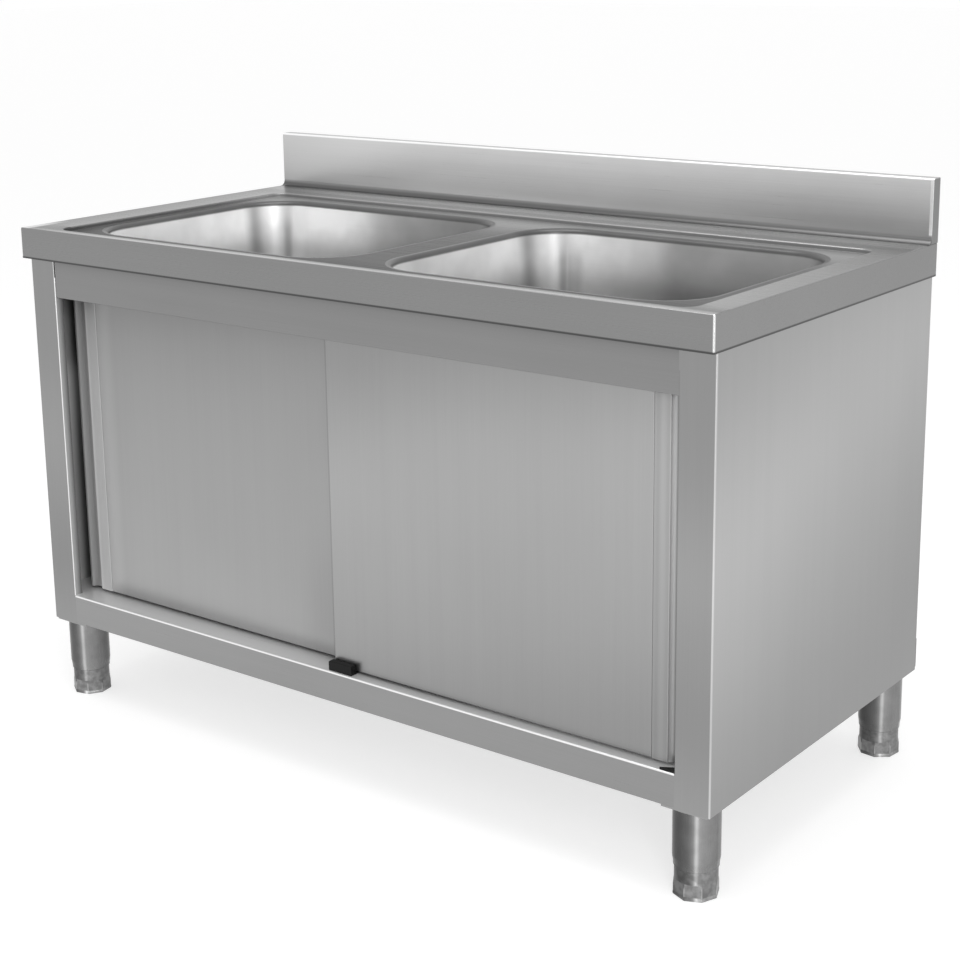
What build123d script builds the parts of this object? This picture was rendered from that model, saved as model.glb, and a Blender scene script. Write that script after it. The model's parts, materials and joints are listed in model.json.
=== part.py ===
"""Stainless steel sink unit with two bowls on a cupboard with two sliding doors.

Millimetres. X runs along the front to the right, Y from the front to the wall, Z up.
The origin is on the floor under the middle of the worktop.
"""

import math
import os

from build123d import *

# ---------------------------------------------------------------- driving sizes
# Worktop and splashback
length = 1400.0  # along the front
depth = 700.0  # front to wall
top_height = 870.0  # floor to worktop
apron_height = 54.0
top_sheet = 1.5
top_bend = 1.0  # inner radius of the worktop's bends
apron_return_front = 12.0
apron_return_side = 3.4
splash_height = 105.0
splash_depth = 25.0
splash_sheet = 1.2
splash_bend = 1.2
cove_radius = 10.0  # where the splashback meets the worktop
cove_nose = 0.15  # thickness of the cove's thin edge

# Sunken area of the worktop, measured outwards from the bowls
sunk_depth = 8.0
sunk_corner = 24.0
sunk_margin_left = 8.0
sunk_margin_right = 32.0
sunk_margin_front = 44.0
sunk_margin_back = 24.0
sunk_bend = 1.5  # inner radius of its pressed step

# Bowls
bowl_side_border = 82.0  # worktop's end to the bowl's rim
bowl_front_border = 66.0
bowl_back_border = 142.0
bowl_gap = 64.0  # between the two rims
bowl_depth = 300.0
bowl_sheet = 1.5
bowl_corner = 97.0  # plan radius of the rim
bowl_floor_round = 45.0
rim_roll = 8.0  # radius that rolls the rim over into the wall
rim_land = 3.0  # flat ring between the roll and the weld
draft = 4.0  # degrees, the walls lean in towards the floor

# Waste of each bowl
dish_radius = 50.0
dish_depth = 6.0
dish_slope = 6.0  # horizontal run of the dish's side
waste_hole = 30.0
flange_radius = 43.0
flange_thick = 1.6
strainer_radius = 26.0
strainer_drop = 4.5
strainer_slope = 3.0  # horizontal run of the strainer's side
strainer_holes = 8
strainer_hole_radius = 3.2
strainer_ring_radius = 17.0
flange_tube_radius = 28.6
flange_tube_wall = 1.8
flange_tube_length = 18.0
flange_bevel = 1.0
flange_edge = 0.8  # thickness of the flange's rim
gasket_thick = 3.0
nut_height = 8.0
nut_radius = 40.0
nut_lugs = 6
nut_lug = 4.0
waste_collar_height = 10.0
waste_collar_wall = 5.0
waste_cone_height = 18.0
waste_ledge = 3.0  # ledge in the collar under the flange's tube
bridge_width = 10.0
bridge_thick = 4.0
tail_radius = 23.9  # 1 1/2 inch pipe thread
tail_wall = 2.4
tail_length = 25.0
waste_screw_radius = 3.0
waste_screw_head = 5.5
waste_screw_head_height = 2.0
waste_screw_length = 24.0

# Cupboard body
panel_sheet = 1.2
panel_bend = 0.8
side_inset = 4.0  # side panels behind the worktop's end aprons
front_inset = 15.7  # jambs behind the worktop's front apron
back_inset = 5.0
body_bottom = 143.0
rail_height = 53.0  # bottom rail, its top is the cupboard floor
rail_return = 16.0
jamb_width = 59.0
jamb_return = 16.0
jamb_return_above = 36.0  # how far the return runs up behind the fascia
fascia_visible = 68.0  # below the worktop's apron
fascia_setback = 2.0
fascia_return = 13.8
flange_bottom = 25.0
flange_top = 18.0
flange_rear = 20.0
floor_flange = 20.0
panel_fit = 0.9  # keeps flat sheets clear of the bends beside them
service_width = 500.0
service_height = 160.0
service_above_floor = 104.0

# Stiffeners
hat_sheet = 1.2
hat_flange = 14.0
hat_rear_width = 50.0
hat_rear_height = 26.0
hat_rear_behind = 18.0  # from the sunken area's back edge
hat_centre_width = 34.0
hat_centre_height = 30.0
hat_track_width = 23.2
hat_floor_width = 60.0
hat_floor_height = 34.0
hat_floor_spread = 420.0
hat_end_gap = 20.0

# Sliding doors
door_setback = 17.3  # front door's face behind the jambs
door_pitch = 28.0  # from the front door's face to the rear door's
door_thick = 15.0
door_sheet = 1.0
door_edge_round = 1.6
door_floor_gap = 5.0
door_hidden_top = 27.0  # behind the fascia
door_hidden_side = 7.0  # behind the jamb
door_overlap = 39.0
door_travel = 600.0

# Pull at the outer end of each door
pull_width = 56.0
groove_width = 25.0
groove_depth = 8.0
groove_land = 27.0  # flat between the seam and the groove
pull_edge_round = 2.0

# Door track and rollers
rail_sheet = 1.5
rail_bend = 0.8
rail_lip = 9.5
rail_drop = 11.5  # door's top to the underside of the rail
track_height = 43.5
track_inset = 4.0  # track's ends short of the side panels
roller_root = 9.0
roller_flange = 11.5
roller_width = 8.0
roller_groove = 2.8
roller_gap = 0.3
axle_radius = 3.0
axle_clearance = 0.05
axle_head_radius = 4.6
axle_head = 1.0
axle_play = 0.3
roller_offset = 5.5  # roller's middle in front of the bracket's
wall_offset = 12.25  # rail's wall in front of the bracket's middle
bracket_sheet = 2.0
bracket_width = 30.0
bracket_foot = 7.4
bracket_above_axle = 8.0
bracket_bend_round = 1.0
roller_inset_inner = 40.0  # from the door's inner end
roller_inset_outer = 72.0
door_screw_radius = 1.5
door_screw_head = 2.5
door_screw_head_height = 1.8
door_screw_length = 14.0
door_screw_spread = 16.0
door_screw_back = 4.6  # behind the bracket's middle
screw_clearance = 0.1
stop_length = 20.0
stop_height = 14.0
stop_gap = 0.3

# Guides at the foot of the doors
guide_width = 48.0
guide_centre = 2.0
guide_height = 16.0
guide_base = 3.0
guide_running_gap = 1.0
guide_front_thick = 12.0
guide_rear_thick = 8.0
guide_chamfer = 1.5
guide_screw_radius = 1.7
guide_screw_head = 3.4
guide_screw_head_height = 2.0
guide_screw_length = 9.0  # above the cupboard floor
guide_screw_tip = 2.0  # free hole past the screw's end
guide_screw_spread = 20.0
corner_block_width = 25.0
corner_block_reach = 14.0
corner_block_height = 4.0

# Legs and feet
leg_inset_side = 43.5  # leg's middle from the side panel's outside
leg_inset_front = 39.5  # from the jambs' face and from the back
leg_radius = 35.6
leg_wall = 1.2
leg_plate_size = 76.0
leg_plate_thick = 3.0
leg_neck = 3.0  # straight length at the mouth
leg_taper_height = 11.0
leg_mouth_gap = 0.4
insert_thick = 10.0
insert_height = 85.0  # its underside above the floor
foot_radius = 32.4
foot_sides = 8
foot_rim_thick = 6.0
foot_rim_round = 2.0
foot_rim_step = 0.4  # from the rim in to the flats
foot_corner_radius = 35.0  # across the rim's corners, half
foot_flats_height = 20.0
foot_cone_height = 8.0  # over which the corners run out
foot_seam = 47.0  # leg's mouth above the floor
foot_engage = 18.0  # of the foot inside the leg
foot_wall = 4.0
spindle_radius = 6.0
spindle_clearance = 0.05
spindle_top = 120.0
spindle_bottom = 8.0
bolt_radius = 4.0
bolt_head_flats = 13.0
bolt_head_height = 5.3
bolt_from_edge = 12.0
bolt_spread = 44.0
bolt_clearance = 0.1

# Rear buffers
buffer_width = 12.0
buffer_height = 50.0
buffer_thick = 4.0
buffer_above = 4.0
buffer_round = 1.5

past = 1.0  # how far a cutter reaches past the face that it goes through
tiny = 0.01  # tolerance for finding a face or an edge by its place

# ---------------------------------------------------------------- places
x_end = length / 2
y_front = -depth / 2
y_wall = depth / 2
y_splash = y_wall - splash_depth
z_top = top_height
z_under = z_top - top_sheet
z_sunk = z_top - sunk_depth
z_sunk_under = z_sunk - top_sheet
z_apron = z_top - apron_height

bowl_length = (length - 2 * bowl_side_border - bowl_gap) / 2
bowl_width = depth - bowl_front_border - bowl_back_border
bowl_y = y_front + bowl_front_border + bowl_width / 2
bowl_x = bowl_gap / 2 + bowl_length / 2
z_bowl = z_sunk - bowl_depth
z_dish = z_bowl - dish_depth

sunk_left = -bowl_x - bowl_length / 2 - sunk_margin_left
sunk_right = bowl_x + bowl_length / 2 + sunk_margin_right
sunk_front = bowl_y - bowl_width / 2 - sunk_margin_front
sunk_back = bowl_y + bowl_width / 2 + sunk_margin_back

x_side = x_end - side_inset
x_side_in = x_side - panel_sheet
x_jamb = x_side - jamb_width
y_jamb = y_front + front_inset
y_jamb_in = y_jamb + panel_sheet
y_back = y_wall - back_inset
y_back_in = y_back - panel_sheet
y_back_front = y_back_in - panel_sheet
z_floor = body_bottom + rail_height
z_floor_under = z_floor - panel_sheet
z_fascia = z_apron - fascia_visible
y_fascia = y_jamb + fascia_setback

y_door_front = y_jamb + door_setback
y_door_rear = y_door_front + door_pitch
z_door_low = z_floor + door_floor_gap
z_door_high = z_fascia + door_hidden_top
x_door_outer = x_jamb + door_hidden_side
x_door_inner = -door_overlap / 2
z_rail = z_door_high + rail_drop
z_lip = z_rail + rail_lip
z_track = z_rail + track_height
z_axle = z_lip + roller_gap + roller_root
x_roller_inner = x_door_inner + roller_inset_inner
x_roller_outer = x_door_outer - roller_inset_outer

leg_x = x_side - leg_inset_side
leg_y_front = y_jamb + leg_inset_front
leg_y_rear = y_back - leg_inset_front
z_plate = body_bottom - leg_plate_thick
leg_places = [(-leg_x, leg_y_front), (leg_x, leg_y_front), (-leg_x, leg_y_rear), (leg_x, leg_y_rear)]
leg_names = ["front_left", "front_right", "rear_left", "rear_right"]
foot_turns = [-10.0, 0.0, 20.0, 15.0]  # degrees, each foot is screwed to its own height


# ---------------------------------------------------------------- helpers
def block(x0, x1, y0, y1, z0, z1):
    """A box between two corners."""
    middle = Pos((x0 + x1) / 2, (y0 + y1) / 2, (z0 + z1) / 2)
    return middle * Box(abs(x1 - x0), abs(y1 - y0), abs(z1 - z0))


def rounded_block(x0, x1, y0, y1, corner, z0, z1):
    """A box with round upright corners."""
    outline = RectangleRounded(x1 - x0, y1 - y0, corner)
    return extrude(Pos((x0 + x1) / 2, (y0 + y1) / 2, z0) * outline, amount=z1 - z0)


def round_bar(x, y, z0, z1, radius):
    """An upright cylinder."""
    return Pos(x, y, (z0 + z1) / 2) * Cylinder(radius, z1 - z0)


def ring(x, y, z0, z1, outer, inner):
    """An upright tube."""
    return round_bar(x, y, z0, z1, outer) - round_bar(x, y, z0 - past, z1 + past, inner)


def turned(points, x=0.0, y=0.0):
    """A solid of revolution about an upright axis, from (radius, height) points."""
    outline = make_face(Polyline(*[(r, 0, z) for r, z in points], close=True))
    return Pos(x, y, 0) * revolve(outline, axis=Axis.Z)


def offset_path(points, distance):
    """Points of a path moved to its left by a distance."""
    moved = []
    for i, (px, py) in enumerate(points):
        normals = []
        if i > 0:
            normals.append(left_normal(points[i - 1], points[i]))
        if i < len(points) - 1:
            normals.append(left_normal(points[i], points[i + 1]))
        nx = sum(n[0] for n in normals)
        ny = sum(n[1] for n in normals)
        scale = len(normals) * distance / (nx * nx + ny * ny)
        moved.append((px + nx * scale, py + ny * scale))
    return moved


def left_normal(a, b):
    """Unit normal on the left of the line from a to b."""
    dx, dy = b[0] - a[0], b[1] - a[1]
    run = math.hypot(dx, dy)
    return (-dy / run, dx / run)


def bend_radii(points, offset, low, high, inner):
    """Radius of each bend for the line at an offset inside a sheet that spans low to high."""
    radii = []
    for a, b, c in zip(points, points[1:], points[2:]):
        turn = (b[0] - a[0]) * (c[1] - b[1]) - (b[1] - a[1]) * (c[0] - b[0])
        inside = high if turn > 0 else low
        radii.append(inner + abs(inside - offset))
    return radii


def folded(points, sheet, inner, side):
    """Section of a folded sheet along a path. side 1 puts the sheet on its left, -1 on its right."""
    low, high = min(0, side * sheet), max(0, side * sheet)
    edges = []
    ends = []
    for offset in (low, high):
        path = offset_path(points, offset)
        line = FilletPolyline(*path, radius=bend_radii(points, offset, low, high, inner))
        edges += line.edges()
        ends.append((path[0], path[-1]))
    edges += Line(ends[0][0], ends[1][0]).edges()
    edges += Line(ends[0][1], ends[1][1]).edges()
    return make_face(edges)


def along_x(section, x0, x1):
    """Extrudes a (Y, Z) section from x0 to x1."""
    return extrude(Plane.YZ.offset(x0) * section, amount=x1 - x0)


def along_y(section, y0, y1):
    """Extrudes an (X, Z) section from y0 to y1."""
    return extrude(Plane.XZ.offset(-y1) * section, amount=y1 - y0)


def along_z(section, z0, z1):
    """Extrudes an (X, Y) section from z0 to z1."""
    return extrude(Plane.XY.offset(z0) * section, amount=z1 - z0)


def other_side(shape):
    """Mirror image on the other side of the unit's middle."""
    return mirror(shape, about=Plane.YZ)


def level_face(shape, z):
    """The largest level face at a height."""
    faces = [f for f in shape.faces().filter_by(Axis.Z) if abs(f.center().Z - z) < tiny]
    return max(faces, key=lambda f: f.area)


def save(name, *shapes):
    """Writes one node."""
    solids = [solid for shape in shapes for solid in shape.solids()]
    shape = solids[0] if len(solids) == 1 else Compound(children=solids)
    export_step(shape, os.path.join("parts", name + ".step"))


# ---------------------------------------------------------------- worktop
def sunken_pocket(grow, z_floor_face, bend):
    """The pressed-down area as a solid, grown sideways, with rounded lower edges."""
    pocket = rounded_block(
        sunk_left - grow,
        sunk_right + grow,
        sunk_front - grow,
        sunk_back + grow,
        sunk_corner + grow,
        z_floor_face,
        z_top + past,
    )
    return fillet(level_face(pocket, z_floor_face).edges(), bend)


def pan_block(inset, z_high, z_low, bend):
    """The worktop's block with rounded upright and top edges."""
    pan = block(-x_end + inset, x_end - inset, y_front + inset, y_wall - inset, z_low, z_high)
    edges = pan.edges().filter_by(Axis.Z) + level_face(pan, z_high).edges()
    return fillet(edges, bend)


def seam_outline(x):
    """Where a bowl is welded into the worktop: box and corner radius."""
    half_x = bowl_length / 2 + rim_land
    half_y = bowl_width / 2 + rim_land
    return x - half_x, x + half_x, bowl_y - half_y, bowl_y + half_y, bowl_corner + rim_land


def sunk_from(shape, pocket, z_high, bend):
    """Presses the sunken area into a block and rounds its upper edge."""
    pressed = shape - pocket
    rim = level_face(pressed, z_high).inner_wires()[0].edges()
    return fillet(rim, bend)


def worktop():
    outer_bend = top_bend + top_sheet
    skin = pan_block(0, z_top, z_apron, outer_bend)
    skin = sunk_from(skin, sunken_pocket(0, z_sunk, sunk_bend), z_top, sunk_bend + top_sheet)
    air = pan_block(top_sheet, z_under, z_apron - past, top_bend)
    step = sunken_pocket(top_sheet, z_sunk_under, sunk_bend + top_sheet)
    air = sunk_from(air, step, z_under, sunk_bend)
    sheet = skin - air
    for x in (-bowl_x, bowl_x):
        sheet -= rounded_block(*seam_outline(x), z_sunk_under - past, z_sunk + past)
    return sheet + apron_hem()


def apron_hem():
    """Return flange round the foot of the aprons."""
    edge = top_sheet / 2
    plate = block(-x_end + edge, x_end - edge, y_front + edge, y_wall - edge, z_apron, z_apron + top_sheet)
    x_in = x_end - apron_return_side
    y0 = y_front + apron_return_front
    y1 = y_wall - apron_return_side
    return plate - block(-x_in, x_in, y0, y1, z_apron - past, z_top)


def splash_section(grow_in):
    """Outline of the splashback, shrunk by a sheet for its hollow."""
    front = y_splash + grow_in
    rear = y_wall - grow_in
    top = z_top + splash_height - grow_in
    corner = splash_bend + splash_sheet - grow_in
    box = Polyline((front, z_top), (front, top), (rear, top), (rear, z_top), close=True)
    face = make_face(box)
    upper = [v for v in face.vertices() if v.Y > z_top + tiny]
    return fillet(upper, corner)


def cove_section():
    """The rounded foot between the worktop and the splashback."""
    nose = y_splash - cove_radius
    centre = (nose, z_top + cove_radius + cove_nose)
    arc = CenterArc(centre, cove_radius, 270, 90)
    low = Polyline(arc @ 0, (nose, z_top), (y_splash, z_top), arc @ 1)
    return make_face(arc.edges() + low.edges())


def splashback():
    body = along_x(splash_section(0), -x_end, x_end)
    hollow = along_x(splash_section(splash_sheet), -x_end - past, x_end + past)
    cove = along_x(cove_section(), -x_end, x_end)
    return body - hollow + cove


def splash_end(side):
    """Plate that closes an end of the splashback."""
    inner = side * (x_end - splash_sheet)
    low, high = sorted((inner, side * x_end))
    return along_x(splash_section(splash_sheet), low, high)


# ---------------------------------------------------------------- bowls
def bowl_cavity(x, z_mouth, grow):
    """Inside of a bowl, grown by a sheet for its outer surface."""
    lean = math.tan(math.radians(draft))
    roll_run = rim_roll / math.tan(math.radians(45 + draft / 2))
    narrower = roll_run + (z_sunk - z_mouth) * lean - grow / math.cos(math.radians(draft))
    mouth = RectangleRounded(
        bowl_length - 2 * narrower, bowl_width - 2 * narrower, bowl_corner - narrower
    )
    reach = z_mouth - (z_bowl - grow)
    tub = extrude(Plane.XY * mouth, amount=reach, taper=draft)
    tub = fillet(level_face(tub, reach).edges(), bowl_floor_round + grow)
    tub = Pos(x, bowl_y, z_mouth) * mirror(tub, about=Plane.XY)
    return tub + drain_dish(x, grow)


def drain_dish(x, grow):
    """Shallow dish in the bowl's floor, down to the waste."""
    high = z_bowl - grow
    low = z_dish - grow
    wide = dish_radius + grow
    narrow = wide - dish_slope
    above = high + past
    return turned([(0, low), (narrow, low), (wide, high), (wide, above), (0, above)], x, bowl_y)


def bowl_side(x, z_mouth, grow, roll):
    """The solid that lies below one of the bowl sheet's two surfaces."""
    z_low = z_dish - bowl_sheet - past
    mass = rounded_block(*seam_outline(x), z_low, z_mouth) - bowl_cavity(x, z_mouth, grow)
    rim = level_face(mass, z_mouth).inner_wires()[0].edges()
    return fillet(rim, roll)


def bowl(x):
    upper = bowl_side(x, z_sunk, 0, rim_roll)
    lower = bowl_side(x, z_sunk - bowl_sheet, bowl_sheet, rim_roll - bowl_sheet)
    sheet = upper - lower
    return sheet - round_bar(x, bowl_y, z_dish - bowl_sheet - 2 * past, z_dish + past, waste_hole)


# ---------------------------------------------------------------- wastes
def waste_flange(x):
    """Strainer flange in the dish, with its threaded tube through the bowl."""
    top = z_dish + flange_thick
    floor = top - strainer_drop
    low = z_dish - flange_tube_length
    inner = flange_tube_radius - flange_tube_wall
    body = turned(
        [
            (0, floor),
            (strainer_radius - strainer_slope, floor),
            (strainer_radius, top),
            (flange_radius - flange_bevel, top),
            (flange_radius, z_dish + flange_edge),
            (flange_radius, z_dish),
            (flange_tube_radius, z_dish),
            (flange_tube_radius, low),
            (inner, low),
            (inner, floor - flange_thick),
            (0, floor - flange_thick),
        ],
        x,
        bowl_y,
    )
    for turn in range(strainer_holes):
        angle = 2 * math.pi * turn / strainer_holes
        hx = x + strainer_ring_radius * math.cos(angle)
        hy = bowl_y + strainer_ring_radius * math.sin(angle)
        body -= round_bar(hx, hy, floor - flange_thick - past, floor + past, strainer_hole_radius)
    hole = waste_screw_radius + screw_clearance
    return body - round_bar(x, bowl_y, floor - flange_thick - past, floor + past, hole)


def waste_screw(x):
    """Screw that draws the waste body up to the strainer."""
    floor = z_dish + flange_thick - strainer_drop
    head = round_bar(x, bowl_y, floor, floor + waste_screw_head_height, waste_screw_head)
    return head + round_bar(x, bowl_y, floor - waste_screw_length, floor, waste_screw_radius)


def waste_gasket(x):
    top = z_dish - bowl_sheet
    inner = flange_tube_radius + screw_clearance
    return ring(x, bowl_y, top - gasket_thick, top, nut_radius, inner)


def waste_nut(x):
    """Lock nut under the bowl, with lugs round its rim."""
    top = z_dish - bowl_sheet - gasket_thick
    low = top - nut_height
    thread = flange_tube_radius + screw_clearance
    nut = ring(x, bowl_y, low, top, nut_radius - nut_lug, thread)
    bore = round_bar(x, bowl_y, low - past, top + past, thread)
    for turn in range(nut_lugs):
        lug = Rot(0, 0, 360 * turn / nut_lugs) * Box(2 * nut_radius, 2 * nut_lug, nut_height)
        nut += Pos(x, bowl_y, (low + top) / 2) * lug - bore
    return nut


def waste_body(x):
    """Collar round the flange's tube, cone and threaded tail."""
    collar_top = z_dish - bowl_sheet - gasket_thick - nut_height
    collar_low = collar_top - waste_collar_height
    cone_low = collar_low - waste_cone_height
    tail_low = cone_low - tail_length
    bore = flange_tube_radius + screw_clearance
    collar = bore + waste_collar_wall
    tail_bore = tail_radius - tail_wall
    z_tube = z_dish - flange_tube_length
    body = turned(
        [
            (bore, collar_top),
            (collar, collar_top),
            (collar, collar_low),
            (tail_radius, cone_low),
            (tail_radius, tail_low),
            (tail_bore, tail_low),
            (tail_bore, cone_low),
            (bore - waste_ledge, collar_low),
            (bore - waste_ledge, z_tube - screw_clearance),
            (bore, z_tube - screw_clearance),
        ],
        x,
        bowl_y,
    )
    reach = bore - waste_ledge / 2
    half = bridge_width / 2
    bridge = block(x - reach, x + reach, bowl_y - half, bowl_y + half, collar_low, collar_low + bridge_thick)
    hole = round_bar(x, bowl_y, collar_low - past, collar_top, waste_screw_radius + screw_clearance)
    return body + (bridge - hole)


# ---------------------------------------------------------------- cupboard
def side_panel():
    """Right side panel, folded round the front as the jamb."""
    upright = [(x_jamb, y_jamb), (x_side, y_jamb), (x_side, y_back), (x_side - flange_rear, y_back)]
    returned = [(x_jamb, y_jamb + jamb_return)] + upright
    z_return = z_fascia + jamb_return_above
    plain = folded(upright, panel_sheet, panel_bend, 1)
    with_return = folded(returned, panel_sheet, panel_bend, 1)
    panel = along_z(plain, body_bottom, z_floor)
    panel += along_z(with_return, z_floor, z_return)
    panel += along_z(plain, z_return, z_under)
    x_mid = x_side - panel_sheet / 2
    y0 = y_jamb_in - panel_sheet / 2
    z_low = body_bottom + panel_sheet
    z_high = z_under - panel_sheet
    panel += block(x_side - flange_bottom, x_mid, y0, y_back_front, body_bottom, z_low)
    panel += block(x_side - flange_top, x_mid, y0, y_back_front, z_high, z_under)
    for y in (leg_y_front, leg_y_rear):
        for by in bolt_lines(y):
            hole = bolt_radius + bolt_clearance
            panel -= round_bar(bolt_x(), by, body_bottom - past, body_bottom + panel_sheet + past, hole)
    return panel


def back_panel():
    reach = x_side_in - panel_fit
    panel = block(-reach, reach, y_back_front, y_back_in, body_bottom, z_under)
    low = z_floor + service_above_floor
    half = service_width / 2
    return panel - block(-half, half, y_back_front - past, y_back_in + past, low, low + service_height)


def cupboard_floor():
    """Floor of the cupboard. Its front edge is folded down as the bottom rail."""
    plate = block(-x_side_in, x_side_in, y_jamb_in, y_back_front, z_floor_under, z_floor)
    behind_bend = y_jamb_in + 2 * panel_sheet
    rail_path = [
        (y_jamb + rail_return, body_bottom),
        (y_jamb, body_bottom),
        (y_jamb, z_floor),
        (behind_bend, z_floor),
    ]
    rail = along_x(folded(rail_path, panel_sheet, panel_bend, -1), -x_jamb, x_jamb)
    notch = block(-x_jamb, x_jamb, y_jamb, behind_bend, z_floor_under - past, z_floor + past)
    floor = plate - notch + rail
    z_flange = z_floor - floor_flange
    for side in (-1, 1):
        x0, x1 = sorted((side * (x_side_in - panel_sheet), side * x_side_in))
        floor += block(x0, x1, y_jamb_in + jamb_return, y_back_front, z_flange, z_floor_under)
        x_fit = side * (x_side_in - panel_fit)
        floor -= block(x_fit, side * x_side, y_jamb, y_jamb_in + panel_fit, z_flange, z_top)
    floor += block(-x_side_in, x_side_in, y_back_front - panel_sheet, y_back_front, z_flange, z_floor_under)
    for x in guide_screw_places():
        hole = guide_screw_radius + screw_clearance
        floor -= round_bar(x, guide_screw_y(), z_floor_under - past, z_floor + past, hole)
    return floor


def fascia():
    path = [(y_fascia + fascia_return, z_fascia), (y_fascia, z_fascia), (y_fascia, z_under)]
    return along_x(folded(path, panel_sheet, panel_bend, -1), -x_jamb, x_jamb)


def hat_section(width, height):
    """Hat profile with its flanges' upper face at 0 and its crown below."""
    half = width / 2
    out = half + hat_flange
    crown = hat_sheet - height
    path = [(-out, 0), (-half, 0), (-half, crown), (half, crown), (half, 0), (out, 0)]
    return folded(path, hat_sheet, hat_sheet, -1)


def channel_section(width, height):
    """Channel profile that stands on its two edges, from 0 up to its crown."""
    half = width / 2
    crown = height - hat_sheet
    return folded([(-half, 0), (-half, crown), (half, crown), (half, 0)], hat_sheet, hat_sheet, 1)


def rear_stiffener():
    y = sunk_back + hat_rear_behind + hat_rear_width / 2 + hat_flange
    reach = x_side - flange_top - hat_end_gap
    section = Pos(y, z_under) * hat_section(hat_rear_width, hat_rear_height)
    return along_x(section, -reach, reach)


def centre_stiffener():
    section = channel_section(hat_centre_width, hat_centre_height)
    y0 = bowl_y - bowl_width / 2 + hat_end_gap
    y1 = bowl_y + bowl_width / 2 - hat_end_gap
    return along_y(Pos(0, z_sunk_under - hat_centre_height) * section, y0, y1)


def floor_stiffeners():
    """Two hats across the underside of the floor, flanges up against it."""
    hats = []
    for x in (-hat_floor_spread, hat_floor_spread):
        section = Pos(x, z_floor_under) * hat_section(hat_floor_width, hat_floor_height)
        y0 = y_jamb + rail_return + hat_end_gap
        y1 = y_back_front - panel_sheet - hat_end_gap
        hats.append(along_y(section, y0, y1))
    return hats


def rear_buffer(side):
    """Rubber buffer on the rear flange, against the wall."""
    outer = side * (x_side - panel_sheet)
    inner = outer - side * buffer_width
    low, high = sorted((inner, outer))
    z0 = body_bottom + buffer_above
    pad = block(low, high, y_back, y_back + buffer_thick, z0, z0 + buffer_height)
    return fillet(pad.faces().sort_by(Axis.Y)[-1].edges(), buffer_round)


# ---------------------------------------------------------------- door track
def rail_path(face):
    """Rail of one door: lip, flange and wall up to the web."""
    middle = face + door_thick / 2
    wall = middle - wall_offset - rail_sheet / 2
    lip = middle - roller_offset + rail_sheet / 2
    return [(lip, z_lip), (lip, z_rail), (wall, z_rail), (wall, z_track)]


def door_track():
    """Two rails side by side under one web."""
    reach = x_side_in - track_inset
    front = rail_path(y_door_front)
    rear = rail_path(y_door_rear)
    web_end = (rear[-1][0] + rail_sheet, z_track)
    front_rail = along_x(folded(front + [web_end], rail_sheet, rail_bend, -1), -reach, reach)
    rear_rail = along_x(folded(rear, rail_sheet, rail_bend, -1), -reach, reach)
    return front_rail + rear_rail


def track_carrier():
    """Channel between the track's web and the worktop."""
    front = rail_path(y_door_front)[-1][0]
    rear = rail_path(y_door_rear)[-1][0] + rail_sheet
    section = Pos((front + rear) / 2, z_track) * channel_section(hat_track_width, z_sunk_under - z_track)
    reach = -sunk_left - hat_end_gap
    return along_x(section, -reach, reach)


def track_stop(side, face, outer):
    """Rubber stop in a rail, where the door's outer or inner roller ends its run."""
    wall = face + door_thick / 2 - wall_offset + rail_sheet / 2
    if outer:
        near = side * (x_roller_outer + roller_flange + stop_gap)
    else:
        near = side * (x_roller_inner - door_travel - roller_flange - stop_gap)
    away = side if outer else -side
    low, high = sorted((near, near + away * stop_length))
    y1 = wall + roller_width
    return block(low, high, wall, y1, z_lip, z_lip + stop_height)


# ---------------------------------------------------------------- doors
def door_skin(face):
    """Front sheet of the right door, a shallow tray open at the back."""
    x1 = x_door_outer - pull_width
    back = face + door_thick - door_sheet
    tray = block(x_door_inner, x1, face, back, z_door_low, z_door_high)
    tray = fillet(tray.faces().sort_by(Axis.Y)[0].edges(), door_edge_round)
    inside = block(
        x_door_inner + door_sheet,
        x1 - door_sheet,
        face + door_sheet,
        back + past,
        z_door_low + door_sheet,
        z_door_high - door_sheet,
    )
    inside = fillet(inside.faces().sort_by(Axis.Y)[0].edges(), door_edge_round - door_sheet)
    return tray - inside - door_screw_holes(face, door_screw_radius + screw_clearance)


def door_core(face):
    """Stiffening board inside the door."""
    x1 = x_door_outer - pull_width - door_sheet
    front = face + door_sheet
    back = face + door_thick - door_sheet
    board = block(
        x_door_inner + door_sheet, x1, front, back, z_door_low + door_sheet, z_door_high - door_sheet
    )
    board = fillet(board.faces().sort_by(Axis.Y)[0].edges(), door_edge_round - door_sheet)
    return board - door_screw_holes(face, door_screw_radius + screw_clearance / 2)


def door_back(face):
    """Back sheet, which closes the tray and the pull."""
    back = face + door_thick
    return block(x_door_inner, x_door_outer, back - door_sheet, back, z_door_low, z_door_high)


def groove_cutter(face, grow, z0, z1):
    """Round-bottomed finger groove."""
    radius = (groove_width**2 / 4 + groove_depth**2) / (2 * groove_depth)
    x = x_door_outer - pull_width + groove_land + groove_width / 2
    y = face + groove_depth - radius
    return round_bar(x, y, z0, z1, radius + grow)


def door_pull(face):
    """Folded end of the door with its finger groove, closed at top and bottom."""
    x0 = x_door_outer - pull_width
    back = face + door_thick - door_sheet
    outer = block(x0, x_door_outer, face, back, z_door_low, z_door_high)
    outer -= groove_cutter(face, 0, z_door_low - past, z_door_high + past)
    lips = [e for e in outer.edges().filter_by(Axis.Z) if abs(e.center().Y - face) < tiny]
    outer = fillet(lips, pull_edge_round / 2)
    z0, z1 = z_door_low + door_sheet, z_door_high - door_sheet
    inner = block(x0 + door_sheet, x_door_outer - door_sheet, face + door_sheet, back + past, z0, z1)
    return outer - (inner - groove_cutter(face, door_sheet, z0, z1))


def bracket_places():
    return (x_roller_inner, x_roller_outer)


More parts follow.
